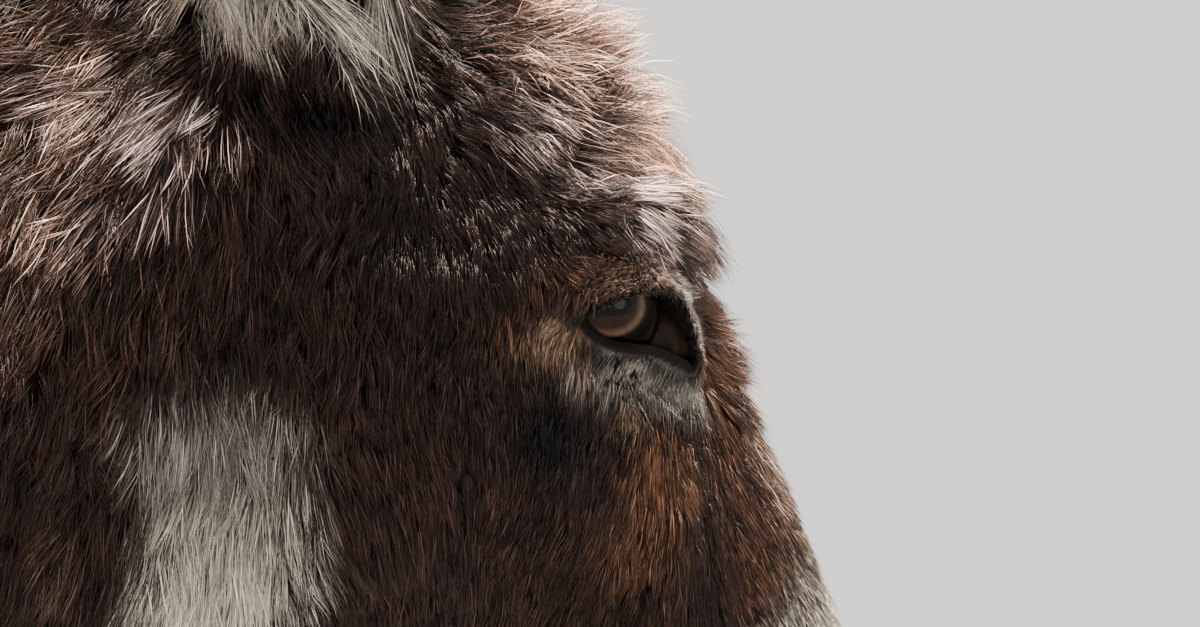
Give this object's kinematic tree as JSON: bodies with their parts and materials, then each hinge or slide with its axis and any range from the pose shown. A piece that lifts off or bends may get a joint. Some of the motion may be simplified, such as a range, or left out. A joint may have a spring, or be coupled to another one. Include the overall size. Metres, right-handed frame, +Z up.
{
  "type": "donkey",
  "caption": "Standing donkey at life size, dark brown and thick-coated, neck low and head hanging at rest, long ears, short upright mane and tufted tail.",
  "frame": {"origin": "on the floor under the middle of the whole animal's box", "axes": "+X towards the head, +Y to the animal's left, +Z up"},
  "size_m": [1.8044, 0.5052, 1.6204],
  "materials": {
    "coat": "dense matt hair, shaggy on the neck and brow, short on the face and legs, with pale muzzle, eye rings, throat and belly",
    "mane": "coarse dark hair in upright and hanging locks",
    "eye": "wet and glossy, dark brown with a level pupil",
    "bare_skin": "dark, thinly haired skin of the lid rims and nostrils, slightly moist",
    "hoof": "grey-brown horn with faint growth rings"
  },
  "bodies": {
    "root": {"head": "coat", "neck": "coat", "trunk": "coat", "tail": "coat", "ear_left": "coat", "ear_right": "coat", "leg_fore_left": "coat", "leg_fore_right": "coat", "leg_hind_left": "coat", "leg_hind_right": "coat", "mane": "mane", "tail_tuft": "mane", "eye_left": "eye", "eye_right": "eye", "hoof_fore_left": "hoof", "hoof_fore_right": "hoof", "hoof_hind_left": "hoof", "hoof_hind_right": "hoof"}
  },
  "joints": []
}
